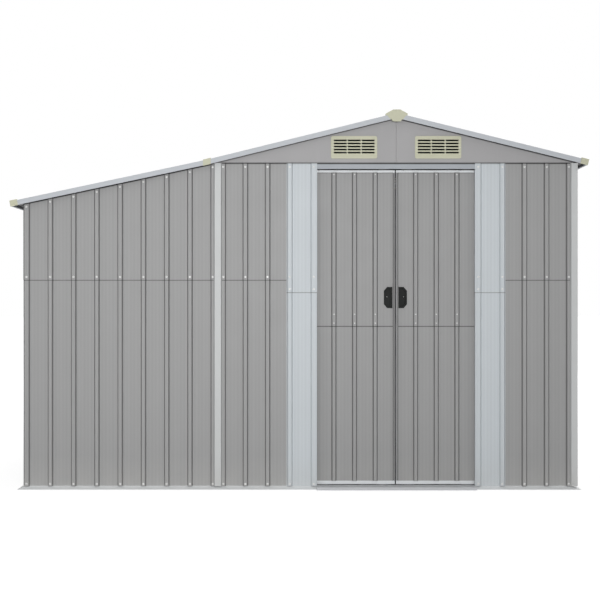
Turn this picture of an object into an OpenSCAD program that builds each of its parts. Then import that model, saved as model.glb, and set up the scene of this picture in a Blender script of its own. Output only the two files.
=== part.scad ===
// Metal storage shed: a gabled main shed with two sliding doors and a lean-to bay on its left.
// X runs to the right, Y to the back and Z up. The origin is on the ground, under the middle
// of the whole shed. Walls are drawn in wall coordinates: along the wall, outward, up.

/* [Overall] */
// Width between the frame planes of the left and right walls
frame_w = 2635; // [2400:5:3000]
// Depth between the frame planes of the front and back walls
frame_d = 1808; // [1400:4:2600]
// Width of the gabled main shed over the faces of its posts
main_w = 1746; // [1640:2:1900]
// Height of the ridge over the ground, at the top of the verge trim
ridge_h = 1804; // [1700:0.5:2100]
// Pitch of the main roof in degrees
main_pitch = 13.8; // [12.5:0.1:20]
// Pitch of the lean-to roof in degrees
lean_pitch = 11.98; // [6:0.01:14]

/* [Sheets] */
// Thickness of the ribbed wall, roof and door sheets
sheet_t = 1; // [0.5:0.1:1.5]
// Height of a rib over the flat of the sheet
rib_h = 10; // [6:0.5:14]
// Half the width of a rib's flat crest
rib_crest = 7.2; // [5:0.1:10]
// Half the width of a rib at its foot
rib_foot = 12.8; // [11:0.1:18]
// Distance from one rib to the next, as near as a whole number of ribs allows
rib_pitch = 111; // [80:1:160]
// Distance from one rib to the next beside the doors
front_rib_pitch = 107; // [100:0.1:112]
// Distance from a post's foot to the middle of the rib beside it
rib_edge = 5.3; // [3:0.1:10]
// The same distance on the lean-to's side of the middle posts
lean_edge = 2.5; // [1:0.1:6]
// Height of the sheets' bottom edge over the ground
sheet_bottom = 14.5; // [10:0.5:20]
// Height of the upper wall sheets, from their seam to the wall top
upper_h = 562.6; // [450:0.1:700]
// How far the seam in the door jambs lies below the wall sheets' seam
jamb_drop = 59.8; // [45:0.1:120]
// How far a lower sheet reaches up behind the upper one
lap = 24; // [10:1:40]

/* [Posts and rails] */
// Thickness of folded posts, rails and beams
fold_t = 1.5; // [1:0.1:2.5]
// Width of a post's face
post_w = 30; // [24:1:40]
// How far a post's face stands out from the frame plane of the front and back walls
post_out = 18; // [15:0.5:20]
// Width of the slanted sides between a post's face and its foot
post_slant = 5; // [2:0.5:8]
// How far a right post's face stands out from the frame plane of the right wall
post_side_out = 21.5; // [16:0.5:26]
// Depth of the legs behind the flanges
post_leg = 29; // [20:1:29]
// Leg width of the hidden angle in each left corner
angle_leg = 30; // [20:1:36]
// Depth of the girts and top rails behind the sheets
girt_depth = 15; // [10:0.5:15]
// Height of the girts and top rails
girt_h = 30; // [20:1:40]
// Width of the base rails' foot inside the wall
foot_w = 20; // [14:1:20]
// Height of the base rails' upstand
upstand_h = 30; // [20:1:50]
// How far the base rails' skirt reaches out from the frame plane
skirt_out = 35; // [20:1:45]
// Height of the skirt where it leaves the upstand
skirt_h = 14; // [8:0.5:14]
// Diameter of the anchor holes in the base rails' feet
anchor_d = 7; // [4:0.5:9]
// Distance from the frame's corners to the anchor holes along the front and the back
anchor_in = 117.5; // [60:0.5:400]

/* [Roof] */
// How far the eaves reach out from the frame planes of the side walls
eave_out = 67.5; // [50:0.5:90]
// How far the verge trims reach out from the frame planes of the front and back walls
verge_out = 58; // [40:0.5:80]
// How far the main roof reaches over the lean-to, from the middle post's face
joint_out = 44; // [30:1:60]
// Height of the verge trim's face
verge_h = 24.5; // [15:0.5:30]
// Height of the eave trim's face
eave_h = 24; // [18:0.5:35]
// Width of the verge trims' flanges on the roof
trim_flange = 40; // [25:1:60]
// Width of the eave trims' flanges on the roof, and of the caps on their ends
eave_flange = 36; // [25:1:60]
// Half width of the flashing over the ridge
ridge_flange = 60; // [40:1:100]
// Depth of the rafters, purlins and eave beams
beam_h = 30; // [20:1:40]
// Width of the rafters, purlins and eave beams
beam_w = 25; // [20:1:40]
// Height of the wall top under the roof sheet, at the frame plane of a side wall
wall_gap = 13; // [12:0.5:20]
// How far the gables' faces stand out from the frame planes
gable_out = 14; // [12:0.5:20]
// Height of the ridge caps over the ridge
ridge_cap_h = 16; // [12:0.5:24]
// Height of the other roof caps over the trims
cap_rise = 4; // [2:0.5:8]

/* [Doors] */
// Width of the doorway between the jambs
doorway_w = 760; // [700:2:800]
// Width of one door
door_w = 402; // [390:1:415]
// Gap between the closed doors
door_gap = 5.5; // [5:0.5:8]
// Height of the doors' lower edge over the ground
door_z0 = 17; // [15:0.5:24]
// Distance from the frame plane back to the doors' skin
door_back = 35; // [34:0.5:45]
// Depth of the door frame
door_frame_d = 19; // [12:0.5:24]
// Width of the door frame's stile beside the gap between the doors
door_stile = 12; // [10:0.5:12]
// Width of the door frame's other bars
door_bar = 25; // [18:1:40]
// Height of the seam in the doors' skin
door_seam = 784; // [500:1:800]
// Height of the ribs in the doors' skin
door_rib_h = 8; // [4:0.5:9]
// Half the width of a door rib's flat crest
door_rib_crest = 6.3; // [4:0.1:9]
// Half the width of a door rib at its foot
door_rib_foot = 11.9; // [10:0.1:16]
// Distance from the middle of the doorway to the first door rib
door_rib_first = 98; // [85:1:120]
// Distance from one door rib to the next
door_rib_pitch = 100; // [60:1:110]

/* [Header and sill] */
// Height of the header's face over the doorway
header_h = 28.5; // [20:0.5:35]
// How far the header's face stands out from the frame plane
header_out = 9; // [6:0.5:12]
// Height of the track inside the header
track_h = 23.5; // [20:0.5:28]
// Width of the track inside the header
track_w = 36; // [30:1:40]
// Width of each lip under the track
track_lip = 11; // [8:0.5:12]
// Distance that the tracks reach beyond the doorway on each side
track_run = 382; // [340:2:430]
// How far the sill reaches out from the frame plane
sill_out = 56; // [40:1:60]

/* [Vents and handles] */
// Width of a gable vent as a share of the main shed's half width
vent_w_share = 0.2543; // [0.18:0.0001:0.3]
// Height of a gable vent as a share of its width
vent_h_share = 0.4865; // [0.35:0.0001:0.55]
// Distance from the ridge line to the middle of a vent as a share of the same half width
vent_x_share = 0.2314; // [0.18:0.0001:0.26]
// Height of the middle of a vent over the wall top as a share of the same half width
vent_rise_share = 0.086; // [0.08:0.0001:0.092]
// Thickness of a vent's face plate
vent_t = 6; // [3:0.5:10]
// Height of a handle
handle_h = 103; // [70:1:130]
// Distance from the middle of the doorway to a handle's straight edge
handle_x0 = 15; // [15:0.5:20]
// Distance from the middle of the doorway to a handle's far edge
handle_x1 = 56; // [46:0.5:60]
// Height of the middle of the handles
handle_z = 922; // [850:1:1000]
// Depth of a handle's finger recess
handle_d = 14; // [8:0.5:17]

/* [Hidden] */
fw = frame_w / 2;
fd = frame_d / 2;
xr = fw + post_side_out;
xc = xr - main_w / 2;
half = main_w / 2;
xm = xc - half;
main_t = tan(main_pitch);
lean_t = tan(lean_pitch);
seat = 0.05;
roof_t = rib_h + 2 * sheet_t + seat;
xj = xm - joint_out;
zj = ridge_h - (xc - xj) * main_t;
xe = fw + eave_out;
ye = fd + verge_out;
main_run = (xe - xc - cap_rise * sin(main_pitch)) / cos(main_pitch);
lean_run = (xe + xj - cap_rise * sin(lean_pitch)) / cos(lean_pitch);
slope_back = 100;
slope_reach = frame_w;
sheet_y = ye - 1.5 * sheet_t;
function top_main(x) = ridge_h - abs(x - xc) * main_t;
function top_lean(x) = zj - (xj - x) * lean_t;
function under_main(x) = top_main(x) - (roof_t + seat) / cos(main_pitch);
function under_lean(x) = top_lean(x) - (roof_t + seat) / cos(lean_pitch);
wall_top = under_main(fw) - wall_gap;
left_top = under_lean(-fw) - wall_gap;
left_beam_z = under_lean(-fw) - 1.05 * beam_h;
wall_seam = wall_top - upper_h;
jamb_seam = wall_seam - jamb_drop;
vent_w = vent_w_share * half;
vent_h = vent_h_share * vent_w;
vent_x = vent_x_share * half;
vent_z = wall_top + vent_rise_share * half;
flange_gap = 0.7;
post_flange = lean_edge + rib_crest - flange_gap;
post_s = half - post_w - post_slant;
side_web = fd + post_out - post_w - post_slant;
main_leg = xm + post_w + post_slant + post_flange;
lean_leg = xm - post_slant - post_flange;
right_leg = xr - post_w - post_slant - post_flange;
tray_back = girt_depth;
doorway = doorway_w / 2;
jamb_in = doorway + 3 * sheet_t;
jamb_rib = post_s - rib_edge - 3 * front_rib_pitch;
sill_half = doorway + 3;
door_a0 = door_gap / 2;
door_a1 = door_a0 + door_w;
track_y = -fd + door_back + 5;
track_z = wall_top - track_h;
door_z1 = track_z - 6;
skin_z0 = door_z0 + 17;
skin_z1 = door_z1 - 12;
wall_grey = [0.62, 0.61, 0.61];
trim_grey = [0.73, 0.75, 0.77];
jamb_grey = [0.76, 0.79, 0.8];
beige = [0.77, 0.76, 0.68];
steel = [0.66, 0.68, 0.69];
black = [0.14, 0.15, 0.15];
gap = 0.3;
big = 4000;

// Folded sections. A path is the inner line of a sheet; outward is on its right-hand side.
function unit(v) = v / norm(v);
function right_of(v) = [v[1], -v[0]];
function mitre(n1, n2) = (n1 + n2) / (1 + n1 * n2);
function seg_normal(p, i) = right_of(unit(p[i + 1] - p[i]));
function path_normal(p, i) =
    i == 0 ? seg_normal(p, 0)
    : i == len(p) - 1 ? seg_normal(p, len(p) - 2)
    : mitre(seg_normal(p, i - 1), seg_normal(p, i));
function shifted(p, d) = [for (i = [0:len(p) - 1]) p[i] + d * path_normal(p, i)];
function backwards(p) = [for (i = [len(p) - 1:-1:0]) p[i]];
function strip(p, d0, d1) = concat(shifted(p, d0), backwards(shifted(p, d1)));
function ring_normal(p, i) =
    mitre(right_of(unit(p[i] - p[(i + len(p) - 1) % len(p)])),
          right_of(unit(p[(i + 1) % len(p)] - p[i])));
function grown(p, d) = [for (i = [0:len(p) - 1]) p[i] + d * ring_normal(p, i)];

// A tube's outline runs anticlockwise
module tube_2d(outline) {
    difference() {
        polygon(outline);
        polygon(grown(outline, -fold_t));
    }
}

// Extrusions along X and Y of a section drawn in the plane across them
module along_x(x0, x1) {
    translate([x0, 0, 0]) rotate([90, 0, 90]) linear_extrude(x1 - x0) children();
}
module along_y(y0, y1) {
    translate([0, y1, 0]) rotate([90, 0, 0]) linear_extrude(y1 - y0) children();
}
module both_x() {
    children();
    mirror([1, 0, 0]) children();
}
module both_y() {
    children();
    mirror([0, 1, 0]) children();
}

// Walls: X along the wall, Y outward from its frame plane
module on_front() { translate([0, -fd, 0]) mirror([0, 1, 0]) children(); }
module on_back() { translate([0, fd, 0]) children(); }
module on_left() { translate([-fw, 0, 0]) rotate([0, 0, 90]) children(); }
module on_right() { translate([fw, 0, 0]) rotate([0, 0, -90]) children(); }
module beside_doors() { translate([xc, 0, 0]) both_x() children(); }

// Ribs, listed from high to low places along the wall
function rib(c, h = rib_h, crest = rib_crest, foot = rib_foot) =
    [[c + foot, 0], [c + crest, h], [c - crest, h], [c - foot, 0]];
function rib_row(first, last, pitch) =
    let (n = max(1, round((first - last) / pitch)))
    [for (i = [0:n]) each rib(first - i * (first - last) / n)];
// A row of ribs whose end ribs run into the posts' feet at places a and b
function between_posts(a, b, pitch) =
    let (row = rib_row(a - rib_edge, b + rib_edge, pitch))
    concat([[a, rib_h]], [for (i = [2:len(row) - 3]) row[i]], [[b, rib_h]]);

module sheet(path, level, z0, z1) {
    translate([0, 0, z0])
        linear_extrude(z1 - z0)
            polygon(strip(path, level * sheet_t, (level + 1) * sheet_t));
}
module lower_sheet(path, level = 0) { sheet(path, level, sheet_bottom, wall_seam + lap); }

// Base rails: a foot, an upstand behind the sheets and a skirt with a fold at its knee
knee_x = 12;
knee_z = 0.6 * skirt_h;
mitre_w = 50;
module base_rail_2d() {
    polygon(strip([[-foot_w, fold_t], [-fold_t, fold_t], [-fold_t, upstand_h]], 0, fold_t));
    polygon([[0, skirt_h - fold_t], [0, skirt_h], [knee_x, knee_z], [skirt_out, fold_t],
             [skirt_out, 0], [knee_x - 0.5, knee_z - fold_t]]);
}
module base_rail(reach) {
    intersection() {
        along_x(-reach - skirt_out, reach + skirt_out) base_rail_2d();
        linear_extrude(upstand_h + 1)
            polygon([[-reach - mitre_w, mitre_w], [-reach + mitre_w, -mitre_w],
                     [reach - mitre_w, -mitre_w], [reach + mitre_w, mitre_w]]);
    }
}
module anchor_hole(x) {
    translate([x, -foot_w / 2, -1]) cylinder(d = anchor_d, h = fold_t + 2, $fn = 32);
}
module base_rail_front() {
    color(trim_grey) difference() {
        on_front() base_rail(fw);
        on_front() both_x() anchor_hole(fw - anchor_in);
        translate([xc - sill_half, -fd - big / 2, -1])
            cube([2 * sill_half, big, upstand_h + 3]);
    }
}
module base_rail_back() {
    color(trim_grey) difference() {
        on_back() base_rail(fw);
        on_back() both_x() anchor_hole(fw - anchor_in);
    }
}
module base_rail_left() { color(trim_grey) on_left() base_rail(fd); }
module base_rail_right() { color(trim_grey) on_right() base_rail(fd); }

// Sill with the lower track, header with the upper track
shoe_y0 = track_y - 5;
shoe_y1 = track_y + 5;
shoe_gap = 1;
sill_y = -fd + 20;
guide_h = 12;
module sill_2d() {
    polygon(strip([[sill_y, 0], [sill_y, sheet_bottom], [-fd - sill_out, sheet_bottom],
                   [-fd - sill_out, 0]], -fold_t, 0));
}
module lower_track_2d() {
    translate([sill_y, 0]) square([track_y + track_w / 2 - sill_y, fold_t]);
    translate([shoe_y0 - shoe_gap - fold_t, 0]) square([fold_t, guide_h]);
    translate([shoe_y1 + shoe_gap, 0]) square([fold_t, guide_h]);
}
module door_sill() {
    color(trim_grey) union() {
        along_x(xc - sill_half, xc + sill_half) sill_2d();
        along_x(xc - doorway - track_run, xc + doorway + track_run) lower_track_2d();
    }
}
track_y0 = track_y - track_w / 2;
track_y1 = track_y + track_w / 2;
header_y = -fd - header_out;
module header_2d() {
    polygon(strip([[header_y, wall_top - header_h], [header_y, wall_top], [track_y0, wall_top]],
                  0, fold_t));
}
module upper_track_2d() {
    polygon(strip([[track_y0 + track_lip, track_z], [track_y0, track_z], [track_y0, wall_top],
                   [track_y1, wall_top], [track_y1, track_z], [track_y1 - track_lip, track_z]],
                  0, fold_t));
    translate([-fd + girt_depth, wall_top - fold_t])
        square([track_y0 + fd - girt_depth + fold_t, fold_t]);
}
module door_header() {
    color(trim_grey) union() {
        along_x(xc - doorway, xc + doorway) header_2d();
        along_x(xc - doorway - track_run, xc + doorway + track_run) upper_track_2d();
    }
}

// Posts: a face between slanted sides, flanges behind the sheets' crests and legs behind those
module post_slots() {
    translate([-big / 2, -fold_t, -1]) cube([big, fold_t, upstand_h + 1]);
}
module middle_post() {
    hw = post_w / 2;
    foot = hw + post_slant;
    leg = foot + post_flange;
    difference() {
        translate([xm + hw, 0, sheet_bottom]) linear_extrude(wall_top - sheet_bottom)
            polygon(strip([[leg, rib_h - post_leg], [leg, rib_h], [foot, rib_h], [hw, post_out],
                           [-hw, post_out], [-foot, rib_h], [-leg, rib_h],
                           [-leg, rib_h - post_leg]], -fold_t, 0));
        post_slots();
    }
}
module middle_posts() {
    color(jamb_grey) {
        on_front() middle_post();
        on_back() middle_post();
    }
}
module corner_post() {
    side = fw + rib_h;
    foot = fd - side_web;
    leg = foot + post_flange;
    difference() {
        translate([0, -fd, sheet_bottom]) linear_extrude(wall_top - sheet_bottom)
            polygon(strip([[right_leg, post_leg - rib_h], [right_leg, -rib_h],
                           [right_leg + post_flange, -rib_h], [xr - post_w, -post_out],
                           [xr, -post_out], [xr, foot - post_slant], [side, foot], [side, leg],
                           [side - post_leg, leg]], -fold_t, 0));
        on_front() post_slots();
        on_right() post_slots();
    }
}
module right_corner_posts() { color(jamb_grey) both_y() corner_post(); }
module left_corner_angles() {
    color(steel) both_y() translate([-fw, -fd, upstand_h])
        linear_extrude(left_beam_z - upstand_h)
            polygon(strip([[0, angle_leg], [0, 0], [angle_leg, 0]], -fold_t, 0));
}

// Rails behind the sheets
module girt_2d(z) {
    polygon(strip([[-girt_depth, z], [0, z], [0, z + girt_h], [-girt_depth, z + girt_h]],
                  -fold_t, 0));
}
girt_z = wall_seam - 3;
module girt_x(x0, x1, z) { along_x(x0, x1) girt_2d(z); }
module wall_girts() {
    color(steel) {
        on_front() {
            girt_x(-fw + angle_leg, lean_leg, girt_z);
            girt_x(main_leg, xc - jamb_in, girt_z);
            girt_x(xc + jamb_in, right_leg, girt_z);
        }
        on_back() {
            girt_x(-fw + angle_leg, lean_leg, girt_z);
            girt_x(main_leg, right_leg, girt_z);
        }
        on_left() girt_x(-fd + angle_leg, fd - angle_leg, girt_z);
        on_right() girt_x(-side_web + post_flange, side_web - post_flange, girt_z);
    }
}
module top_rails() {
    z = wall_top - girt_h;
    color(steel) {
        on_front() {
            girt_x(main_leg, xc - jamb_in, z);
            girt_x(xc + jamb_in, right_leg, z);
        }
        on_back() girt_x(main_leg, right_leg, z);
    }
}

// Roof frame
beam_z = wall_top - girt_h;
right_beam_x = fw - beam_w;
mid_beam_x0 = lean_leg + fold_t;
mid_beam_x1 = main_leg - fold_t;
module eave_beams() {
    color(steel) {
        along_y(-side_web + post_flange, side_web - post_flange)
            tube_2d([[right_beam_x, beam_z], [fw, beam_z], [fw, under_main(fw)],
                     [right_beam_x, under_main(right_beam_x)]]);
        along_y(-fd + tray_back, fd - tray_back)
            tube_2d([[mid_beam_x0, beam_z], [mid_beam_x1, beam_z],
                     [mid_beam_x1, under_main(mid_beam_x1)],
                     [mid_beam_x0, under_main(mid_beam_x0)]]);
        along_y(-fd + angle_leg, fd - angle_leg)
            tube_2d([[-fw, left_beam_z], [-fw + beam_w, left_beam_z],
                     [-fw + beam_w, under_lean(-fw + beam_w)], [-fw, under_lean(-fw)]]);
    }
}
module ridge_beam() {
    w = beam_w / 2;
    color(steel) along_y(-fd + tray_back, fd - tray_back)
        tube_2d([[xc - w, under_main(xc + w) - beam_h], [xc + w, under_main(xc + w) - beam_h],
                 [xc + w, under_main(xc + w)], [xc, under_main(xc)],
                 [xc - w, under_main(xc + w)]]);
}
// Slopes: X down the slope, Y along the ridge, Z square to the roof, zero at the trims' top
module on_right_slope() { translate([xc, 0, ridge_h]) rotate([0, main_pitch, 0]) children(); }
module on_left_slope() {
    translate([xc, 0, ridge_h]) mirror([1, 0, 0]) rotate([0, main_pitch, 0]) children();
}
module on_lean_slope() {
    translate([xj, 0, zj]) mirror([1, 0, 0]) rotate([0, lean_pitch, 0]) children();
}
module rafter(y0, w) {
    h = beam_h;
    along_x(-slope_back, slope_reach) translate([y0, -roof_t - seat - h])
        tube_2d([[0, 0], [w, 0], [w, h], [0, h]]);
}
module cut_x(x0, x1) {
    intersection() {
        children();
        translate([x0, -big / 2, 0]) cube([x1 - x0, big, big]);
    }
}
rafter_w = 30;
rafter_y = fd - tray_back;
module mid_rafter() { rafter(-rafter_w / 2, rafter_w); }
module end_rafters() { both_y() rafter(-rafter_y, rafter_w); }
module rafters() {
    color(steel) {
        cut_x(xc + beam_w / 2, right_beam_x) on_right_slope() {
            mid_rafter();
            end_rafters();
        }
        cut_x(mid_beam_x1, xc - beam_w / 2) on_left_slope() mid_rafter();
        cut_x(main_leg, xc - beam_w / 2) on_left_slope() end_rafters();
        cut_x(-fw + beam_w, mid_beam_x0) on_lean_slope() mid_rafter();
        both_y() cut_x(-fw, lean_leg) on_lean_slope() rafter(-fd, girt_depth);
    }
}
module purlin(x, y_end) {
    both_y() along_y(rafter_w / 2, y_end)
        translate([x - beam_w / 2, -roof_t - seat - beam_h])
            tube_2d([[0, 0], [beam_w, 0], [beam_w, beam_h], [0, beam_h]]);
}
module purlins() {
    color(steel) {
        on_right_slope() purlin(half / 2, rafter_y - rafter_w);
        on_left_slope() purlin(half / 2, rafter_y - rafter_w);
        on_lean_slope() purlin((fw + xj) / 2, fd - girt_depth);
    }
}
module roof_tie() {
    w = rafter_w;
    h = under_main(mid_beam_x1) - beam_h / cos(main_pitch) - seat - beam_z;
    color(steel) along_x(mid_beam_x1, right_beam_x) translate([-w / 2, beam_z])
        tube_2d([[0, 0], [w, 0], [w, h], [0, h]]);
}

// Wall sheets. The lean-to's sheets wrap round the left corners and end in a lip under the side's
lean_corner = -fw - rib_h;
corner_rib = 16;
corner_bevel = 5;
wrap_d = 24.5;
wrap_foot = 30;
wrap_lip = 44;
lean_first = lean_corner + corner_rib;
lip_x = -fw - sheet_t;
lip_end = fd - wrap_lip;
function lean_front_path() =
    let (row = rib_row(xm - post_slant - lean_edge, lean_first, rib_pitch))
    concat([[xm - post_slant, rib_h]], [for (i = [2:len(row) - 3]) row[i]],
           [[lean_corner + corner_bevel, rib_h], [lean_corner, rib_h - corner_bevel],
            [lean_corner, -wrap_d], [lip_x, -wrap_foot], [lip_x, lip_end - fd]]);
module below_lean_roof() {
    intersection() {
        children();
        along_y(-big / 2, big / 2)
            polygon([[-big / 2, 0], [0, 0], [0, under_lean(0)], [-big / 2, under_lean(-big / 2)]]);
    }
}
module lean_to_front_lower() { color(wall_grey) on_front() lower_sheet(lean_front_path()); }
module lean_to_front_upper() {
    color(wall_grey) below_lean_roof() on_front()
        sheet(lean_front_path(), 1, wall_seam, ridge_h);
}
function front_panel_path() =
    let (row = rib_row(post_s - rib_edge, jamb_rib, front_rib_pitch))
    concat([[post_s, rib_h]], [for (i = [2:len(row) - 2]) row[i]]);
jamb_crest = 22;
jamb_lip = 3;
function jamb_path() =
    let (r = rib(jamb_rib), crest_x = jamb_in + jamb_crest)
    concat([[r[0][0] + jamb_lip, 0]], r,
           [[crest_x + rib_foot - rib_crest, 0], [crest_x, rib_h], [jamb_in, rib_h],
            [jamb_in, -girt_depth]]);
module front_wall_lower() {
    color(wall_grey) on_front() beside_doors() lower_sheet(front_panel_path());
}
module front_wall_upper() {
    color(wall_grey) on_front() beside_doors() sheet(front_panel_path(), 1, wall_seam, wall_top);
}
module door_jambs_lower() {
    color(jamb_grey) on_front() beside_doors()
        sheet(jamb_path(), 1, sheet_bottom, jamb_seam + lap);
}
module door_jambs_upper() {
    color(jamb_grey) on_front() beside_doors() sheet(jamb_path(), 2, jamb_seam, wall_top);
}
function back_path() = between_posts(xc + post_s, xc - post_s, rib_pitch);
module back_wall_lower() {
    color(wall_grey) on_back() {
        lower_sheet(lean_front_path());
        lower_sheet(back_path());
    }
}
module back_wall_upper() {
    color(wall_grey) {
        below_lean_roof() on_back() sheet(lean_front_path(), 1, wall_seam, ridge_h);
        on_back() sheet(back_path(), 1, wall_seam, wall_top);
    }
}
side_in = 19;
side_rib = 69;
left_end = fd - side_in;
left_first = fd - side_rib;
function left_wall_path() =
    concat([[left_end, 0]], rib_row(left_first, -left_first, rib_pitch), [[-left_end, 0]]);
module left_wall_lower() { color(wall_grey) on_left() lower_sheet(left_wall_path()); }
module left_wall_upper() {
    color(wall_grey) on_left() difference() {
        sheet(left_wall_path(), 1, wall_seam, left_top);
        both_x() translate([lip_end - gap, -big / 2, wall_seam - 1]) cube([big, big, lap + 1 + gap]);
    }
}
module right_wall_lower() {
    color(wall_grey) on_right() lower_sheet(between_posts(side_web, -side_web, rib_pitch));
}
module right_wall_upper() {
    color(wall_grey) on_right()
        sheet(between_posts(side_web, -side_web, rib_pitch), 1, wall_seam, wall_top);
}

// Gables: two trays each, whose bottom flange rests on the wall's top edge
gable_seam = 1;
vent_rim = 13;
louvre_w = vent_w - 2 * vent_rim;
louvre_h = vent_h - 2 * vent_rim;
function gable_outline() =
    [[gable_seam / 2, wall_top + seat], [half, wall_top + seat], [half, under_main(xc + half)],
     [gable_seam / 2, under_main(xc + gable_seam / 2)]];
module gable_tray() {
    difference() {
        along_y(-tray_back, gable_out) polygon(gable_outline());
        along_y(-tray_back - 1, gable_out - fold_t) polygon(grown(gable_outline(), -fold_t));
        along_y(-tray_back - 1, gable_out + 1) translate([vent_x, vent_z])
            square([louvre_w, louvre_h], center = true);
    }
}
module front_gable() { color(wall_grey) on_front() beside_doors() gable_tray(); }
module back_gable() { color(wall_grey) on_back() beside_doors() gable_tray(); }
module rounded(w, h, r) {
    square([w - 2 * r, h], center = true);
    square([w, h - 2 * r], center = true);
    for (sx = [-1, 1], sy = [-1, 1])
        translate([sx * (w / 2 - r), sy * (h / 2 - r)]) circle(r = r, $fn = 32);
}
// Rows of slots in the vents. The lowest row is only a shallow groove
slot_rows = 5;
slot_cols = 3;
slot_pitch = louvre_h / 5.6;
slot_h = 0.56 * slot_pitch;
slot_up = 0.23 * slot_pitch;
slot_bar = 5.3;
groove_d = 1.5;
vent_corner = 9;
module vent() {
    slot_w = (louvre_w - (slot_cols - 1) * slot_bar) / slot_cols;
    face = gable_out + vent_t;
    translate([vent_x, 0, vent_z]) difference() {
        along_y(gable_out, face) rounded(vent_w, vent_h, vent_corner);
        for (i = [0:slot_cols - 1], j = [-1:slot_rows - 1])
            along_y(j < 0 ? face - groove_d : gable_out - 1, face + 1)
                translate([(i - (slot_cols - 1) / 2) * (slot_w + slot_bar),
                           (j - (slot_rows - 1) / 2) * slot_pitch + slot_up])
                    square([slot_w, slot_h], center = true);
    }
}
module front_vents() { color(beige) on_front() beside_doors() vent(); }
module back_vents() { color(beige) on_back() beside_doors() vent(); }

// Roof sheets, with ribs running down the slopes
roof_rib = 45;
function roof_path() =
    let (first = sheet_y - roof_rib)
    concat([[-sheet_y, 0]], backwards([for (p = rib_row(first, -first, rib_pitch)) p]),
           [[sheet_y, 0]]);
module roof_sheet(x0, x1) {
    along_x(x0, x1) translate([0, -roof_t])
        polygon(strip(roof_path(), 0, -sheet_t));
}
module roof_right() {
    color(wall_grey) cut_x(xc + 1, xe) on_right_slope()
        roof_sheet(-slope_back, main_run - sheet_t - seat);
}
module roof_left() {
    color(wall_grey) cut_x(xj + 1, xc - 1) on_left_slope() roof_sheet(-slope_back, slope_reach);
}
module roof_lean_to() {
    color(wall_grey) cut_x(-xe, xj - 1) on_lean_slope()
        roof_sheet(-slope_back, lean_run - sheet_t - seat);
}
flash_y = ye - trim_flange;
module roof_flashings() {
    color(trim_grey) along_y(-flash_y, flash_y) {
        polygon(strip([[xc - ridge_flange, top_main(xc - ridge_flange)], [xc, ridge_h],
                       [xc + ridge_flange, top_main(xc + ridge_flange)]], 0, sheet_t));
        polygon(strip([[xj - trim_flange, top_lean(xj - trim_flange)], [xj, zj],
                       [xj + trim_flange, top_main(xj + trim_flange)]], 0, sheet_t));
    }
}
// Verge trims: a flange on the roof sheets and a face in front of them
module verge_2d() {
    polygon(strip([[-ye + trim_flange, 0], [-ye, 0], [-ye, -verge_h * cos(main_pitch)]],
                  -sheet_t, 0));
}
verge_gap = 1;
module verge_bar(run) { along_x(-slope_back, run) verge_2d(); }
module verge_trim() {
    cut_x(xc + verge_gap, xe) on_right_slope() verge_bar(main_run - eave_flange - gap);
    cut_x(xj + verge_gap, xc - verge_gap) on_left_slope() verge_bar(slope_reach);
    cut_x(-xe, xj - verge_gap) on_lean_slope() verge_bar(lean_run - eave_flange - gap);
}
module front_verge_trim() { color(trim_grey) verge_trim(); }
module back_verge_trim() { color(trim_grey) mirror([0, 1, 0]) verge_trim(); }
eave_lip = 8;
module eave_trim(run) {
    along_y(-sheet_y, sheet_y)
        polygon(strip([[run - eave_flange, 0], [run, 0], [run, -eave_h],
                       [run - eave_lip, -eave_h]], 0, sheet_t));
}
module eave_trims() {
    color(trim_grey) {
        on_right_slope() eave_trim(main_run);
        on_lean_slope() eave_trim(lean_run);
    }
}

// Moulded caps over the ends of the ridge, the roof joint and the eaves
cap_t = 3;
cap_y = -ye + trim_flange;
cap_step = cap_t / 2;
wing_x = 52;
wing_top = [wing_x, -3];
wing_foot = [28.7, -32];
cap_top = [16.7, ridge_cap_h];
cap_side = [41, -7];
cap_foot = [18.4, -41.3];
function ridge_outline(p) =
    concat([for (v = p) [xc + v[0], ridge_h + v[1]]],
           [for (v = backwards(p)) [xc - v[0], ridge_h + v[1]]]);
module ridge_cap() {
    along_y(-ye - cap_t, -ye - cap_step)
        polygon(ridge_outline([cap_top, cap_side, cap_foot]));
    along_y(-ye - cap_step, -ye) polygon(ridge_outline([cap_top, wing_top, wing_foot]));
    along_y(-ye, cap_y) difference() {
        polygon(ridge_outline([cap_top, wing_top, [wing_x, -wing_x * main_t]]));
        polygon(ridge_outline([[seat, seat], [2 * wing_x, seat - 2 * wing_x * main_t]]));
    }
}
module ridge_caps() { color(beige) both_y() ridge_cap(); }
joint_cap_l = 8.5;
joint_cap_r = 28;
cap_drop = 1.5;
function joint_line(up) =
    [[xj - joint_cap_l, top_lean(xj - joint_cap_l) + up], [xj, zj + up],
     [xj + joint_cap_r, top_main(xj + joint_cap_r) + up]];
module joint_cap() {
    along_y(-ye - cap_t, -ye)
        polygon(concat(joint_line(-verge_h - cap_drop), backwards(joint_line(cap_rise))));
    along_y(-ye, cap_y) polygon(concat(joint_line(seat), backwards(joint_line(cap_rise))));
}
module eave_cap(run) {
    x0 = run - eave_flange;
    along_y(-ye - cap_t, -sheet_y) translate([x0, -eave_h - cap_drop])
        square([eave_flange, eave_h + cap_drop + cap_rise]);
    along_y(-sheet_y, cap_y) translate([x0, seat]) square([eave_flange, cap_rise - seat]);
}
module roof_edge_caps() {
    color(beige) both_y() {
        joint_cap();
        on_right_slope() eave_cap(main_run);
        on_lean_slope() eave_cap(lean_run);
    }
}

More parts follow.
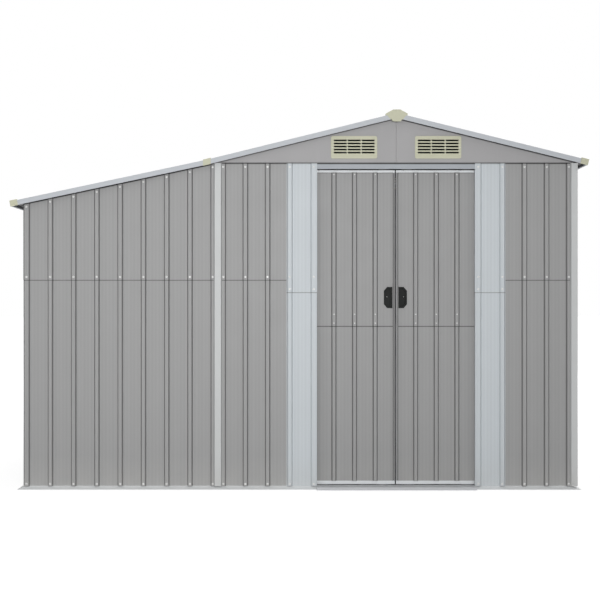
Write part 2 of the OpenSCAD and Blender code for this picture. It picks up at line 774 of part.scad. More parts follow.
// Doors, drawn from the middle of the doorway outward; the left one is mirrored
skin_y = -fd + door_back;
door_edge = 9;
module left_hand() { translate([xc, 0, 0]) mirror([1, 0, 0]) children(); }
module right_hand() { translate([xc, 0, 0]) children(); }
function door_path() =
    let (count = floor((door_a1 - door_rib_first - door_rib_foot - door_edge) / door_rib_pitch))
    concat([[door_a1, 0]],
           [for (i = [count:-1:0])
               each rib(door_rib_first + i * door_rib_pitch, door_rib_h, door_rib_crest,
                        door_rib_foot)],
           [[door_a0 + door_edge, 0]]);
module door_skin(level, z0, z1) {
    translate([0, skin_y, 0]) mirror([0, 1, 0]) sheet(door_path(), level, z0, z1);
}
module door_lower() { door_skin(0, skin_z0, door_seam + lap); }
module door_frame_2d(m) {
    w = door_w - door_stile - door_bar;
    mid = door_seam - 8;
    difference() {
        translate([door_a0 + m, door_z0 + m]) square([door_w - 2 * m, door_z1 - door_z0 - 2 * m]);
        translate([door_a0 + door_stile - m, door_z0 + door_bar - m])
            square([w + 2 * m, mid - door_z0 - door_bar + 2 * m]);
        translate([door_a0 + door_stile - m, mid + door_bar - m])
            square([w + 2 * m, door_z1 - mid - 2 * door_bar + 2 * m]);
    }
}
runner_w = 30;
runner_len = 50;
runner_h = 8.2;
runner_in = 60;
hanger_t = 8;
module runner(x) {
    translate([x - runner_len / 2, track_y - runner_w / 2, track_z + fold_t + gap])
        cube([runner_len, runner_w, runner_h]);
    translate([x - runner_len / 2, track_y - hanger_t / 2, door_z1])
        cube([runner_len, hanger_t, track_z - door_z1 + fold_t + gap]);
    translate([x - runner_len / 2, shoe_y0, fold_t + gap + 1])
        cube([runner_len, shoe_y1 - shoe_y0, door_z0 - fold_t - gap - 1]);
}
module door_frame() {
    difference() {
        along_y(skin_y, skin_y + door_frame_d) door_frame_2d(0);
        along_y(skin_y + fold_t, skin_y + door_frame_d + 1) door_frame_2d(fold_t);
    }
    runner(door_a0 + runner_in);
    runner(door_a1 - runner_in);
}
corner_w = 16;
corner_h = 19;
function handle_outline() =
    let (h = handle_h / 2, a = handle_x0, b = handle_x1)
    [[a, -h], [b - corner_w, -h], [b, -h + corner_h], [b, h - corner_h], [b - corner_w, h],
     [a, h]];
cup_in = 4;
cup_t = 1.6;
skin_face = skin_y - 2 * sheet_t;
module handle_cut() {
    translate([0, 0, handle_z]) along_y(skin_y - 20, skin_y + 5)
        polygon(grown(handle_outline(), gap - cup_in));
}
module door_upper() {
    difference() {
        door_skin(1, door_seam, skin_z1);
        handle_cut();
    }
}
module door_handle() {
    translate([0, 0, handle_z]) difference() {
        union() {
            along_y(skin_face - 2.5, skin_face) polygon(handle_outline());
            along_y(skin_face - 1, skin_face + handle_d) polygon(grown(handle_outline(), -cup_in));
        }
        along_y(skin_face - 3, skin_face + handle_d - cup_t)
            polygon(grown(handle_outline(), -cup_in - cup_t));
    }
}
module left_door_lower() { color(wall_grey) left_hand() door_lower(); }
module left_door_upper() { color(wall_grey) left_hand() door_upper(); }
module left_door_frame() { color(trim_grey) left_hand() door_frame(); }
module left_door_handle() { color(black) left_hand() door_handle(); }
module right_door_lower() { color(wall_grey) right_hand() door_lower(); }
module right_door_upper() { color(wall_grey) right_hand() door_upper(); }
module right_door_frame() { color(trim_grey) right_hand() door_frame(); }
module right_door_handle() { color(black) right_hand() door_handle(); }

base_rail_front();
base_rail_back();
base_rail_left();
base_rail_right();
door_sill();
door_header();
middle_posts();
right_corner_posts();
left_corner_angles();
wall_girts();
top_rails();
eave_beams();
ridge_beam();
rafters();
purlins();
roof_tie();
lean_to_front_lower();
lean_to_front_upper();
front_wall_lower();
front_wall_upper();
door_jambs_lower();
door_jambs_upper();
left_wall_lower();
left_wall_upper();
right_wall_lower();
right_wall_upper();
back_wall_lower();
back_wall_upper();
front_gable();
back_gable();
front_vents();
back_vents();
roof_right();
roof_left();
roof_lean_to();
roof_flashings();
front_verge_trim();
back_verge_trim();
eave_trims();
ridge_caps();
roof_edge_caps();
left_door_lower();
left_door_upper();
left_door_frame();
left_door_handle();
right_door_lower();
right_door_upper();
right_door_frame();
right_door_handle();
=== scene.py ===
"""Finishes, screws and small fittings of a metal storage shed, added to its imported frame.

Lengths are in metres. X runs to the right, Y to the back and Z up from the ground.
"""

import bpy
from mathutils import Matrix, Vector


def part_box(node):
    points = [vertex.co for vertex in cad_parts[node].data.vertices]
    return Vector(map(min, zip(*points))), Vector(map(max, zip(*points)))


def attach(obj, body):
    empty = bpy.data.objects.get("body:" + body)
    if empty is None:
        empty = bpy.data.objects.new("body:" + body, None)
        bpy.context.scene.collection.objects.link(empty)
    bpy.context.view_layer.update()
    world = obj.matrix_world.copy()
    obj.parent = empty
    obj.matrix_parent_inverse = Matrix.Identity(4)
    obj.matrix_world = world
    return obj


bl_info = {
    "name": "Metal Storage Shed",
    "version": (1, 0, 0),
    "blender": (4, 5, 0),
    "location": "View3D > Sidebar > Shed",
    "description": "Coats the sheets of a storage shed and adds its screws, louvres and stage",
    "category": "Add Mesh",
}

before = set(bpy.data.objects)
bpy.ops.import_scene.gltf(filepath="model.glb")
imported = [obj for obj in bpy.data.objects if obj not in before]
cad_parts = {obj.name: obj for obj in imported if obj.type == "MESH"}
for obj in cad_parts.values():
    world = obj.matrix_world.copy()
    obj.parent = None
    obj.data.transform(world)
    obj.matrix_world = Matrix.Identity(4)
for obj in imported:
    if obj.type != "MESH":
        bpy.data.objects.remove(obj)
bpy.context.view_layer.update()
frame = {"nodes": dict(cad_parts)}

import math

import bpy
from bpy.props import FloatProperty, FloatVectorProperty, IntProperty, PointerProperty
from mathutils import Vector


# Sizes of the shed's folded sheets, as in its CAD

SHEET = 0.001
RIB_HEIGHT = 0.010
RIB_CREST = 0.0072
RIB_PITCH = 0.111
FRONT_PITCH = 0.107
RIB_EDGE = 0.0053
LEAN_EDGE = 0.0025
POST_FACE = 0.030
POST_SLANT = 0.005
POST_OUT = 0.018
FLANGE = 0.009
JAMB_EDGE = 0.383
JAMB_CREST = 0.022
DOOR_STILE = 0.012
HANDLE_FLOOR = 0.8586
ROOF_OUT = 0.058
ROOF_CREST = -0.00105
VERGE_DROP = 0.0155
EAVE_OUT = 0.0675
JOINT_OUT = 0.044
VENT_RIM = 0.013
VENT_WIDTH = 0.222
SLOTS_HIGH = 5.6
CORNER_RIB = 0.016
TOP_RAIL = 0.012
BOTTOM_RAIL = 0.017
RAIL_LIP = 0.0003
MAIN_PITCH = math.radians(13.8)
LEAN_PITCH = math.radians(11.98)

# Where the screws stand, from the edges of their sheets

SCREW_FOOT = 0.0245
SCREW_LAP = 0.0142
SCREW_TOP = 0.0185
JAMB_SCREW_LAP = 0.0155
JAMB_SCREW_SHIFT = 0.002
LEAN_SCREW_TOP = 0.0365
LEAN_SCREW_SHIFT = 0.002
LEFT_RIB = 0.069
ROOF_RIB = 0.045
RIDGE_SCREW = 0.045
JOINT_SCREW = 0.025
JOINT_SCREW_OVER = 0.024
EAVE_SCREW = 0.019
DOOR_SCREWS_ACROSS = (0.098, 0.198, 0.298)
DOOR_SCREW_LAP = 0.014
DOOR_SCREW_OVER = 0.057
DOOR_SCREW_TOP = 0.010
HANDLE_SCREW_ACROSS = 0.0402
HANDLE_SCREW_RISE = 0.0035
VENT_SCREW_SCALE = 0.6


def low(node):
    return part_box(node)[0]


def high(node):
    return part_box(node)[1]


# The shed's main lines, read from the frame

FRONT = -low("front_wall_lower").y - RIB_HEIGHT - SHEET
SIDE = high("right_wall_lower").x - RIB_HEIGHT - SHEET
POST_LEFT = low("middle_posts").x + FLANGE + POST_SLANT
POST_RIGHT = high("right_corner_posts").x
MAIN_HALF = (POST_RIGHT - POST_LEFT) / 2
RIDGE_X = POST_RIGHT - MAIN_HALF
RIDGE_Z = high("roof_flashings").z
JOINT_X = POST_LEFT - JOINT_OUT
JOINT_Z = RIDGE_Z - (RIDGE_X - JOINT_X) * math.tan(MAIN_PITCH)
EAVE_X = SIDE + EAVE_OUT
WALL_TOP = high("front_wall_upper").z
LEFT_TOP = high("left_wall_upper").z
WALL_SEAM = low("front_wall_upper").z
JAMB_SEAM = low("door_jambs_upper").z
DOOR_SEAM = low("left_door_upper").z
DOOR_TOP = high("left_door_upper").z
DOOR_FOOT = low("left_door_lower").z - BOTTOM_RAIL
RAIL_TOP = DOOR_TOP + TOP_RAIL
DOOR_CREST = -low("left_door_upper").y
DOOR_FACE = -low("left_door_frame").y
VENT_HEIGHT = high("front_vents").z - low("front_vents").z
SLOT_PITCH = (VENT_HEIGHT - 2 * VENT_RIM) / SLOTS_HIGH


def lean_top(x):
    """Height of the lean-to trims over a place x."""
    return JOINT_Z - (JOINT_X - x) * math.tan(LEAN_PITCH)


def rib_row(first, last, pitch):
    """Middles of a row of ribs from one place to another."""
    count = max(1, round((first - last) / pitch))
    return [first - i * (first - last) / count for i in range(count + 1)]


# Settings

def length(name, text, value, **more):
    return FloatProperty(name=name, description=text, default=value, min=0.0, precision=4,
                         subtype="DISTANCE", unit="LENGTH", **more)


def amount(name, text, value, **more):
    return FloatProperty(name=name, description=text, default=value, **more)


def linear(value):
    """A screen value from 0 to 255 as linear light."""
    value /= 255
    return value / 12.92 if value <= 0.04045 else ((value + 0.055) / 1.055) ** 2.4


def colour(name, text, *levels):
    return FloatVectorProperty(name=name, description=text, size=3, subtype="COLOR", min=0.0,
                               max=1.0, default=tuple(linear(level) for level in levels))


class CoatingSettings(bpy.types.PropertyGroup):
    """Colours of the shed's coated steel and plastic."""
    wall: colour("Wall sheets", "Coating of the ribbed wall sheets", 166, 166, 166)
    door: colour("Door sheets", "Coating of the ribbed door sheets", 163, 163, 163)
    gable: colour("Gables", "Coating of the two flat gables", 172, 171, 172)
    roof: colour("Roof sheets", "Coating of the ribbed roof sheets", 158, 158, 159)
    jamb: colour("Door jambs", "Coating of the pale strips beside the doors", 209, 215, 219)
    post: colour("Posts", "Coating of the posts' faces", 212, 214, 214)
    trim: colour("Trims", "Coating of the roof trims", 198, 202, 207)
    # The header's colour is darkened by painted shade, standing for the shade it lies in under the
    # gables' foot
    header: colour("Header", "Coating of the header over the doors", 174, 179, 185)
    sill: colour("Sill", "Coating of the sill and the lower track", 210, 212, 215)
    base: colour("Base", "Coating of the base rails", 246, 248, 249)
    door_frame: colour("Door frames", "Coating of the door frames", 242, 245, 247)
    frame: colour("Inner frame", "Zinc of the hidden rails and beams", 176, 180, 182)
    cap: colour("Caps and vents", "Moulded plastic of the caps and vents", 203, 203, 178)
    handle: colour("Handles", "Moulded plastic of the handles", 21, 24, 23)
    # The louvres' near-black colour is painted shade, standing for the dark inside the vents' slots
    louvre: colour("Louvres", "Dark plastic of the blades behind the vents", 10, 10, 9)
    seal: colour("Door seals", "Rubber of the strips along the doors' meeting edges", 160, 160, 160)
    # The seal bead's dark colour is painted shade along each seal's outer side, beside the door
    # skin
    bead: colour("Seal beads", "Dark rubber of the bead at the outer side of each seal", 40, 40, 40)
    line_pitch: length("Roll line pitch", "Distance between the faint lines rolled into a sheet",
                       0.0172)
    line_depth: amount("Roll line depth", "Strength of the faint lines in a sheet", 0.6,
                       min=0.0, max=1.0)


class ScrewSettings(bpy.types.PropertyGroup):
    """Sizes of the sheet screws."""
    washer_radius: length("Washer radius", "Radius of the pale washer", 0.0052)
    washer_height: length("Washer height", "Thickness of the washer", 0.0012)
    head_radius: length("Head radius", "Radius of the screw's head", 0.0036)
    head_height: length("Head height", "Height of the head over the washer", 0.0016)
    recess_width: length("Recess width", "Width of each slot of the crossed recess", 0.0009)
    door_scale: amount("Door screw scale", "Size of a door screw against a wall screw", 0.6,
                       min=0.3, max=1.0)
    handle_scale: amount("Handle screw scale", "Size of a handle screw against a wall screw", 0.45,
                         min=0.3, max=1.0)
    seed: IntProperty(name="Seed", description="Start of the screws' random turns", default=7)


class LouvreSettings(bpy.types.PropertyGroup):
    """Sizes of the blades behind the gable vents."""
    count: IntProperty(name="Blades", description="Blades in one vent", default=5, min=1)
    width: length("Width", "Width of a blade", 0.194)
    depth: length("Depth", "Depth of a blade", 0.010)
    thickness: length("Thickness", "Thickness of a blade", 0.0012)
    tilt: FloatProperty(name="Tilt", description="Rise of a blade towards the inside",
                        default=math.radians(30), subtype="ANGLE")


class SealSettings(bpy.types.PropertyGroup):
    """Sizes of the rubber strips on the doors' meeting edges."""
    ribs: IntProperty(name="Ribs", description="Low ribs along one strip", default=3, min=1)
    height: length("Height", "Height of a strip's ribs over the door frame", 0.0012)
    margin: length("Margin", "Bare edge of the door frame beside the doors' gap", 0.0004)
    skin_margin: length("Skin margin", "Bare edge of the door frame beside the skin", 0.0018)


class StageSettings(bpy.types.PropertyGroup):
    """Camera, lamps and floor."""
    camera_x: amount("Camera X", "Camera's place across the front", 0.0035, unit="LENGTH")
    camera_distance: length("Camera distance", "Distance from the shed's middle", 6.965)
    camera_height: length("Camera height", "Height over the ground", 0.910)
    lens: amount("Lens", "Focal length in millimetres on a 36 mm sensor", 75.4, min=10.0)
    key_power: amount("Key power", "Watts of the small lamp close to the camera", 150.0, min=0.0)
    fill_power: amount("Fill power", "Watts of the broad lamp at the front left", 50.0, min=0.0)
    top_power: amount("Top power", "Watts of the lamp over the roof", 55.0, min=0.0)
    back_power: amount("Back power", "Watts of the lamp behind the shed", 400.0, min=0.0)
    world_level: amount("World level", "Even light from all around", 0.29, min=0.0)
    floor: colour("Floor", "Colour of the plain floor", 236, 236, 236)


# Node helpers

SHADER_TREE, GEOMETRY_TREE = "ShaderNodeTree", "GeometryNodeTree"
COLOUR, FLOAT, INT = "NodeSocketColor", "NodeSocketFloat", "NodeSocketInt"
GEOMETRY, MATERIAL = "NodeSocketGeometry", "NodeSocketMaterial"
GREY = (0.5, 0.5, 0.5, 1)


def feed(tree, node, inputs):
    """Links a node's inputs to sockets, one or a list of them, or sets them to plain values."""
    for key, value in inputs.items():
        for item in value if isinstance(value, list) else [value]:
            if isinstance(item, bpy.types.NodeSocket):
                tree.links.new(item, node.inputs[key])
            else:
                node.inputs[key].default_value = item


def add(tree, kind, inputs=None, **values):
    """Adds a node, sets its properties and feeds its inputs."""
    node = tree.nodes.new(kind)
    for key, value in values.items():
        setattr(node, key, value)
    feed(tree, node, inputs or {})
    return node


def new_group(name, kind, inputs, outputs):
    """A node group: its tree, the sockets of its inputs and its output node.

    inputs gives each input's default, or its kind where it has none; outputs gives kinds.
    """
    tree = bpy.data.node_groups.new(name, kind)
    kinds = {tuple: COLOUR, float: FLOAT, int: INT}
    for label, value in inputs.items():
        bare = isinstance(value, str)
        socket = tree.interface.new_socket(name=label, in_out="INPUT",
                                           socket_type=value if bare else kinds[type(value)])
        if not bare:
            socket.default_value = value
    for label, value in outputs.items():
        tree.interface.new_socket(name=label, in_out="OUTPUT", socket_type=value)
    return tree, tree.nodes.new("NodeGroupInput").outputs, tree.nodes.new("NodeGroupOutput")


def calc(tree, operation, first, second=None, clamp=False):
    inputs = {0: first} if second is None else {0: first, 1: second}
    return add(tree, "ShaderNodeMath", inputs, operation=operation, use_clamp=clamp).outputs[0]


def ramp(tree, value, start, end, first=0.0, last=1.0):
    """Runs from first to last while a value runs from start to end."""
    return add(tree, "ShaderNodeMapRange", {"Value": value, "From Min": start, "From Max": end,
                                            "To Min": first, "To Max": last},
               clamp=True).outputs[0]


def wander(tree, value, share):
    """A noise value's swing to both sides of 0."""
    return calc(tree, "MULTIPLY", calc(tree, "SUBTRACT", value, 0.5), share)


def mix_colour(tree, factor, first, second, blend="MIX"):
    return add(tree, "ShaderNodeMix", {0: factor, 6: first, 7: second}, data_type="RGBA",
               blend_type=blend).outputs[2]


def toned(tree, tint, level):
    """A colour times a grey level."""
    grey = add(tree, "ShaderNodeCombineColor", {index: level for index in range(3)})
    return mix_colour(tree, 1.0, tint, grey.outputs[0], "MULTIPLY")


def noise(tree, place, scale, detail=2.0):
    return add(tree, "ShaderNodeTexNoise",
               {"Vector": place, "Scale": scale, "Detail": detail}).outputs["Fac"]


def texture_place(tree):
    return add(tree, "ShaderNodeTexCoord").outputs["Object"]


def split(tree, vector):
    return add(tree, "ShaderNodeSeparateXYZ", {0: vector}).outputs


def joined(tree, **parts):
    """A vector of the given X, Y and Z."""
    return add(tree, "ShaderNodeCombineXYZ", parts).outputs[0]


# Effects of the finishes

# Pale tint of the dust and the painted floor bounce light near the ground
DUST_AND_BOUNCE_TINT = (0.62, 0.61, 0.58, 1)
SCUFF_TINT = (0.72, 0.73, 0.74, 1)
# Colour of the painted shadow along lapped and overhanging edges
LAP_SHADE_TINT = (0.012, 0.011, 0.010, 1)
DUST_AND_BOUNCE_TOP = 0.16


def build_coat_group():
    """Powder coat: cloudy tone, fine orange peel and pale dust with painted floor bounce light near
    the ground.
    """
    tree, source, target = new_group(
        "Powder coat", SHADER_TREE,
        {"Colour": GREY, "Cloud": 0.04, "Peel": 0.15, "Gloss": 0.45, "Dust": 0.1},
        {"Colour": COLOUR, "Roughness": FLOAT, "Height": FLOAT})
    place = texture_place(tree)
    cloud = noise(tree, place, scale=1.7, detail=4.0)
    grain = noise(tree, place, scale=420.0)
    smear = noise(tree, place, scale=9.0, detail=5.0)
    # Tone wanders a little to both sides of the coat's own colour
    swing = calc(tree, "ADD", wander(tree, cloud, source["Cloud"]), wander(tree, grain, 0.05))
    tint = toned(tree, source["Colour"], calc(tree, "ADD", swing, 1.0))
    # Pale dust and painted light bounced from the floor lie on the lowest hand's breadth, broken up
    patch = calc(tree, "MULTIPLY", ramp(tree, split(tree, place)["Z"], DUST_AND_BOUNCE_TOP, 0.0), smear)
    dust_and_bounce_mask = calc(tree, "MULTIPLY", patch, source["Dust"], clamp=True)
    rough = calc(tree, "ADD", wander(tree, smear, 0.16), source["Gloss"])
    peel = noise(tree, place, scale=650.0, detail=1.0)
    feed(tree, target, {
        "Colour": mix_colour(tree, dust_and_bounce_mask, tint, DUST_AND_BOUNCE_TINT),
        "Roughness": calc(tree, "ADD", rough, calc(tree, "MULTIPLY", dust_and_bounce_mask, 0.6), clamp=True),
        "Height": calc(tree, "MULTIPLY", peel, source["Peel"])})
    return tree


def build_roll_group():
    """Roll lines: faint parallel lines along a sheet, and painted shade on the ribs' flanks."""
    tree, source, target = new_group(
        "Roll lines", SHADER_TREE,
        {"Colour": GREY, "Pitch": 0.0172, "Depth": 0.35, "Flank": 0.4, "Roof": 0.0},
        {"Colour": COLOUR, "Height": FLOAT})
    texture = add(tree, "ShaderNodeTexCoord").outputs
    place, facing = split(tree, texture["Object"]), split(tree, texture["Normal"])
    side_x, side_y, up = (calc(tree, "ABSOLUTE", facing[axis]) for axis in "XYZ")
    # A side wall's lines stand along Y, and so do the roof's
    on_side = calc(tree, "MAXIMUM", calc(tree, "GREATER_THAN", side_x, 0.97), source["Roof"])
    along_x = calc(tree, "MULTIPLY", place["X"], calc(tree, "SUBTRACT", 1.0, on_side))
    along_y = calc(tree, "MULTIPLY", place["Y"], on_side)
    along = calc(tree, "DIVIDE", calc(tree, "ADD", along_x, along_y), source["Pitch"])
    # A wave for every pitch, and a slower one that makes the lines uneven
    line = calc(tree, "ADD", *(
        calc(tree, "MULTIPLY",
             calc(tree, "SINE", calc(tree, "MULTIPLY", along, 2 * math.pi * rate)), share)
        for rate, share in ((1, 0.7), (0.37, 0.3))))
    tone = calc(tree, "MULTIPLY", line, calc(tree, "MULTIPLY", source["Depth"], 0.06))
    # Flanks lie between a wall that faces front and one that faces sideways
    slanted = calc(tree, "MULTIPLY", *(calc(tree, "LESS_THAN", side, 0.93)
                                       for side in (side_y, side_x)))
    walls = calc(tree, "MULTIPLY", slanted, calc(tree, "LESS_THAN", up, 0.1))
    # Painted shade on the flanks, taken off the tone by Flank
    flank = calc(tree, "MULTIPLY", walls, source["Flank"])
    level = calc(tree, "SUBTRACT", calc(tree, "ADD", 1.0, tone), flank)
    feed(tree, target, {"Colour": toned(tree, source["Colour"], level),
                        "Height": calc(tree, "MULTIPLY", line, source["Depth"])})
    return tree


def rising(tree, place, start, height, slope):
    """Height of a straight slope over a place."""
    run = calc(tree, "SUBTRACT", place, start)
    return calc(tree, "ADD", calc(tree, "MULTIPLY", run, slope), height)


def build_lap_group():
    """Edge shade: a painted shadow, the dark line along a lapped or overhanging edge where its
    shade falls.
    """
    tree, source, target = new_group(
        "Lap line", SHADER_TREE,
        {"Colour": GREY, "Height": 1.0, "Width": 0.005, "Strength": 0.9, "Roof": 0.0},
        {"Colour": COLOUR})
    whole = texture_place(tree)
    place = split(tree, whole)
    # Where Roof is 1, the height is counted from the slopes' top line
    left, right, lean = (
        rising(tree, place["X"], start, height, slope) for start, height, slope in (
            (RIDGE_X, RIDGE_Z, math.tan(MAIN_PITCH)), (RIDGE_X, RIDGE_Z, -math.tan(MAIN_PITCH)),
            (JOINT_X, JOINT_Z, math.tan(LEAN_PITCH))))
    slopes = calc(tree, "MINIMUM", right, calc(tree, "MAXIMUM", left, lean))
    edge = calc(tree, "ADD", source["Height"], calc(tree, "MULTIPLY", slopes, source["Roof"]))
    # 0 at the edge and 1 at the line's far side; a negative width puts the line over the edge
    depth = calc(tree, "DIVIDE", calc(tree, "SUBTRACT", edge, place["Z"]), source["Width"])
    fade = calc(tree, "SUBTRACT", 1.0, depth, clamp=True)
    inside = calc(tree, "GREATER_THAN", depth, -0.02)
    blotch = noise(tree, whole, scale=14.0, detail=3.0)
    broken = calc(tree, "ADD", calc(tree, "MULTIPLY", blotch, 0.3), 0.85)
    # Painted shade, darkest at the edge and fading across the line's width
    dark = calc(tree, "MULTIPLY", calc(tree, "MULTIPLY", fade, inside),
                calc(tree, "MULTIPLY", source["Strength"], broken), clamp=True)
    feed(tree, target, {"Colour": mix_colour(tree, dark, source["Colour"], LAP_SHADE_TINT)})
    return tree


def build_wear_group():
    """Handling wear: pale scuffs and fine upright scratches."""
    tree, source, target = new_group("Handling wear", SHADER_TREE,
                                     {"Colour": GREY, "Scuff": 0.1}, {"Colour": COLOUR})
    stretch = add(tree, "ShaderNodeMapping",
                  {"Vector": texture_place(tree), "Scale": (1.0, 1.0, 0.12)})
    grain = noise(tree, stretch.outputs[0], scale=30.0, detail=6.0)
    scratch = ramp(tree, grain, 0.60, 0.74)
    mask = calc(tree, "MULTIPLY", scratch, source["Scuff"], clamp=True)
    feed(tree, target, {"Colour": mix_colour(tree, mask, source["Colour"], SCUFF_TINT)})
    return tree


BUILDERS = {"Powder coat": build_coat_group, "Roll lines": build_roll_group,
            "Lap line": build_lap_group, "Handling wear": build_wear_group}
GROUPS = {}


def effect(tree, name, inputs):
    """Places one of the shared node groups in a material and gives its outputs."""
    if name not in GROUPS:
        GROUPS[name] = BUILDERS[name]()
    return add(tree, "ShaderNodeGroup", inputs, node_tree=GROUPS[name]).outputs


def opened(name):
    """A new material, its tree and its Principled shader."""
    material = bpy.data.materials.new(name)
    material.use_nodes = True
    return material, material.node_tree, material.node_tree.nodes["Principled BSDF"]


def bumped(tree, height, strength, distance):
    return add(tree, "ShaderNodeBump", {"Strength": strength, "Distance": distance,
                                        "Height": height}).outputs["Normal"]


# Finishes

def coated_steel(name, tint, dust=0.45, scuff=0.03, rolled=None, lapped=()):
    """Powder-coated steel.

    rolled is (pitch, depth, flank, roof) for a rolled sheet, flank being painted shade on the
    ribs' flanks, and lapped holds (height, width, strength) of each painted shadow line along a
    lapped or overhanging edge, with a 1 behind them for a line along the slopes.
    """
    material, tree, shader = opened(name)
    coat = effect(tree, "Powder coat", {"Colour": (*tint, 1), "Cloud": 0.05, "Peel": 0.2,
                                        "Gloss": 0.5, "Dust": dust})
    shade = effect(tree, "Handling wear", {"Colour": coat["Colour"], "Scuff": scuff})["Colour"]
    height = coat["Height"]
    if rolled:
        values = zip(("Pitch", "Depth", "Flank", "Roof"), rolled)
        lines = effect(tree, "Roll lines", {"Colour": shade, **dict(values)})
        shade = lines["Colour"]
        height = calc(tree, "ADD", height, lines["Height"])
    for edge in lapped:
        values = zip(("Height", "Width", "Strength", "Roof"), edge)
        shade = effect(tree, "Lap line", {"Colour": shade, **dict(values)})["Colour"]
    feed(tree, shader, {"Base Color": shade, "Roughness": coat["Roughness"],
                        "Specular IOR Level": 0.35, "Normal": bumped(tree, height, 0.25, 0.0004)})
    return material


def zinc(name, tint):
    """Galvanised steel with large soft crystals."""
    material, tree, shader = opened(name)
    crystals = add(tree, "ShaderNodeTexVoronoi", {"Vector": texture_place(tree), "Scale": 70.0},
                   feature="F1")
    spread = add(tree, "ShaderNodeSeparateColor", {0: crystals.outputs["Color"]}).outputs
    tone = calc(tree, "ADD", calc(tree, "MULTIPLY", spread[0], 0.16), 0.9)
    coat = effect(tree, "Powder coat", {"Colour": (*tint, 1), "Gloss": 0.42})
    rough = calc(tree, "ADD", coat["Roughness"], calc(tree, "MULTIPLY", spread[1], 0.12),
                 clamp=True)
    feed(tree, shader, {"Base Color": toned(tree, coat["Colour"], tone), "Roughness": rough,
                        "Metallic": 0.55, "Normal": bumped(tree, coat["Height"], 0.2, 0.0003)})
    return material


def moulded_plastic(name, tint, roughness=0.5, specular=0.5):
    """Moulded plastic or rubber with a fine leather-like grain."""
    material, tree, shader = opened(name)
    cells = add(tree, "ShaderNodeTexVoronoi", {"Vector": texture_place(tree), "Scale": 780.0},
                feature="SMOOTH_F1")
    coat = effect(tree, "Powder coat", {"Colour": (*tint, 1), "Cloud": 0.08,
                                        "Gloss": roughness, "Dust": 0.0})
    height = calc(tree, "ADD", cells.outputs["Distance"], coat["Height"])
    feed(tree, shader, {"Base Color": coat["Colour"], "Roughness": coat["Roughness"],
                        "Specular IOR Level": specular,
                        "Normal": bumped(tree, height, 0.3, 0.0004)})
    return material


MATERIALS = {}


def finish_of(name):
    if name not in MATERIALS:
        raise RuntimeError(f"the finish {name} hasn't been made yet")
    return MATERIALS[name]


FINISH_NODES = {
    "wall_sheet": [f"{wall}_{course}" for wall in ("lean_to_front", "front_wall", "left_wall",
                                                   "right_wall", "back_wall")
                   for course in ("lower", "upper")],
    "door_sheet": ["left_door_lower", "left_door_upper", "right_door_lower", "right_door_upper"],
    "gable_sheet": ["front_gable", "back_gable"],
    "roof_sheet": ["roof_right", "roof_left", "roof_lean_to"],
    "jamb_sheet": ["door_jambs_lower", "door_jambs_upper"],
    "post_steel": ["middle_posts", "right_corner_posts"],
    "trim_steel": ["front_verge_trim", "back_verge_trim", "eave_trims", "roof_flashings"],
    "header_steel": ["door_header"],
    "sill_steel": ["door_sill"],
    "base_steel": ["base_rail_front", "base_rail_back", "base_rail_left", "base_rail_right"],
    "door_frame_steel": ["left_door_frame", "right_door_frame"],
    "frame_steel": ["left_corner_angles", "wall_girts", "top_rails", "eave_beams", "ridge_beam",
                    "rafters", "purlins", "roof_tie"],
    "beige_plastic": ["ridge_caps", "roof_edge_caps", "front_vents", "back_vents"],
    "black_plastic": ["left_door_handle", "right_door_handle"],
}


